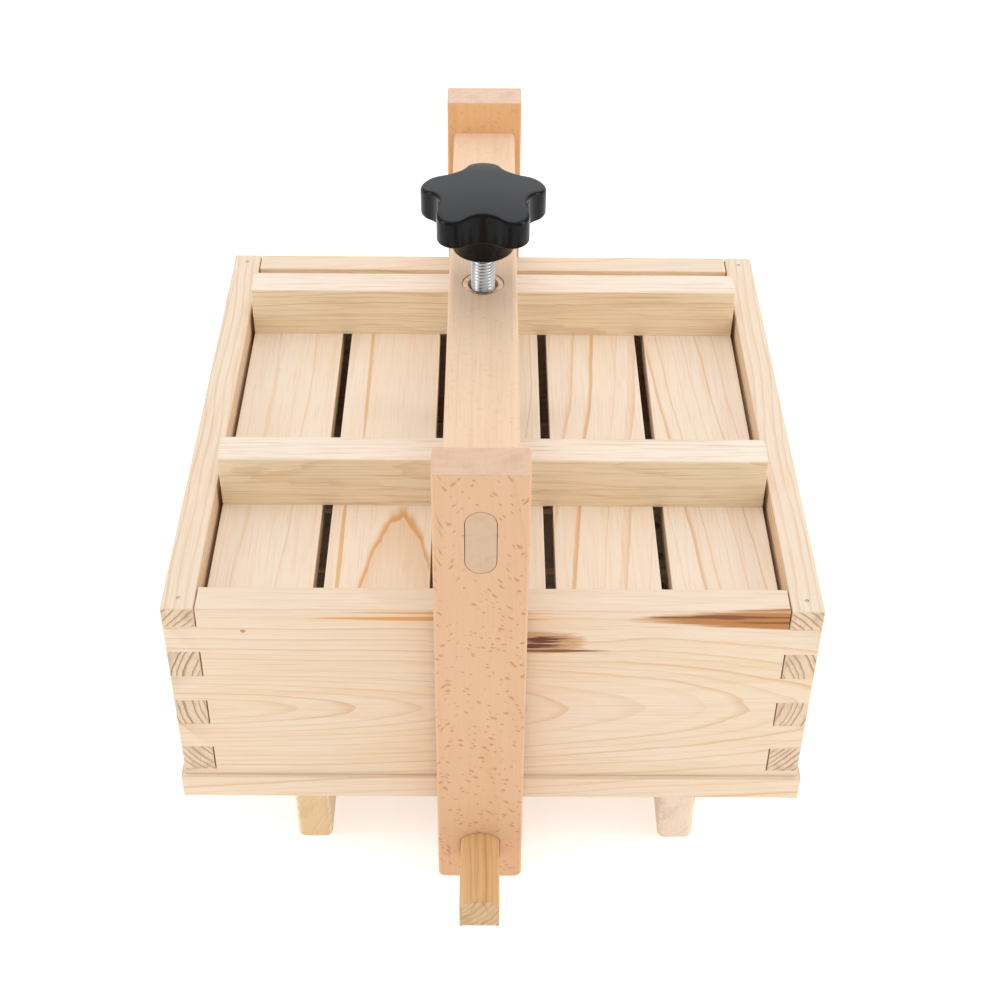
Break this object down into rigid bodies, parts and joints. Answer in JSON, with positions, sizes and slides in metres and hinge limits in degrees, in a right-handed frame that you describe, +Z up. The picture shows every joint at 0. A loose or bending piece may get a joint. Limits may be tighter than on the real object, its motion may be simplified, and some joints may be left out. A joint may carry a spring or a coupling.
{
  "type": "cheese press",
  "caption": "Wooden cheese press: slatted base, finger-jointed mould and slatted lid, pressed by a star-knob screw in a beech frame with a loose lower bar.",
  "frame": {"origin": "on the table, under the middle of the mould and base", "axes": "+X to the right, +Y to the rear along the press frame, +Z up along the screw"},
  "size_m": [0.304, 0.426, 0.294],
  "materials": {
    "pine_wall": "sanded, unfinished",
    "pine_lid": "sanded, unfinished",
    "pine_base": "sanded, unfinished",
    "beech": "sanded, unfinished",
    "bar_softwood": "sanded, unfinished",
    "zinc_steel": "bright zinc plate",
    "screw_steel": "plain steel",
    "insert_brass": "tarnished",
    "black_plastic": "moulded, glossy sides and satin top"
  },
  "bodies": {
    "base": {"foot_left": "pine_base", "foot_right": "pine_base", "base_slat_1": "pine_base", "base_slat_2": "pine_base", "base_slat_3": "pine_base", "base_slat_4": "pine_base", "base_slat_5": "pine_base", "base_slat_6": "pine_base", "base_screws": "screw_steel"},
    "mould": {"wall_front": "pine_wall", "wall_rear": "pine_wall", "wall_left": "pine_wall", "wall_right": "pine_wall", "corner_brads": "screw_steel"},
    "lid": {"lid_slat_1": "pine_lid", "lid_slat_2": "pine_lid", "lid_slat_3": "pine_lid", "lid_slat_4": "pine_lid", "lid_slat_5": "pine_lid", "lid_batten_front": "pine_lid", "lid_batten_rear": "pine_lid", "lid_screws": "screw_steel"},
    "press_frame": {"upright_front": "beech", "upright_rear": "beech", "crossbar": "beech", "threaded_insert": "insert_brass"},
    "lower_bar": {"lower_bar": "bar_softwood"},
    "press_pad": {"press_pad": "zinc_steel"},
    "screw": {"screw_stud": "zinc_steel", "knob": "black_plastic"}
  },
  "joints": [
    {"name": "mould_lift", "type": "slide", "parent": "base", "child": "mould", "axis": [0, 0, 1], "range_m": [0, 0.04]},
    {"name": "lid_press", "type": "slide", "parent": "base", "child": "lid", "axis": [0, 0, 1], "range_m": [-0.0193, 0]},
    {"name": "frame_slide", "type": "slide", "parent": "base", "child": "press_frame", "axis": [1, 0, 0], "range_m": [-0.065, 0.08]},
    {"name": "lower_bar_draw", "type": "slide", "parent": "press_frame", "child": "lower_bar", "axis": [0, -1, 0], "range_m": [0, 0.385]},
    {"name": "screw_advance", "type": "slide", "parent": "press_frame", "child": "press_pad", "axis": [0, 0, 1], "range_m": [-0.01925, 0]},
    {"name": "screw_turn", "type": "hinge", "parent": "press_pad", "child": "screw", "pos_m": [-0.0055, 0, 0.2], "axis": [0, 0, 1], "range_deg": [-3961, 0]}
  ],
  "couplings": [
    {"joint": "screw_turn", "follows": "screw_advance", "rad_per_m": 3590.4},
    {"joint": "lid_press", "follows": "screw_advance", "ratio": 1}
  ]
}
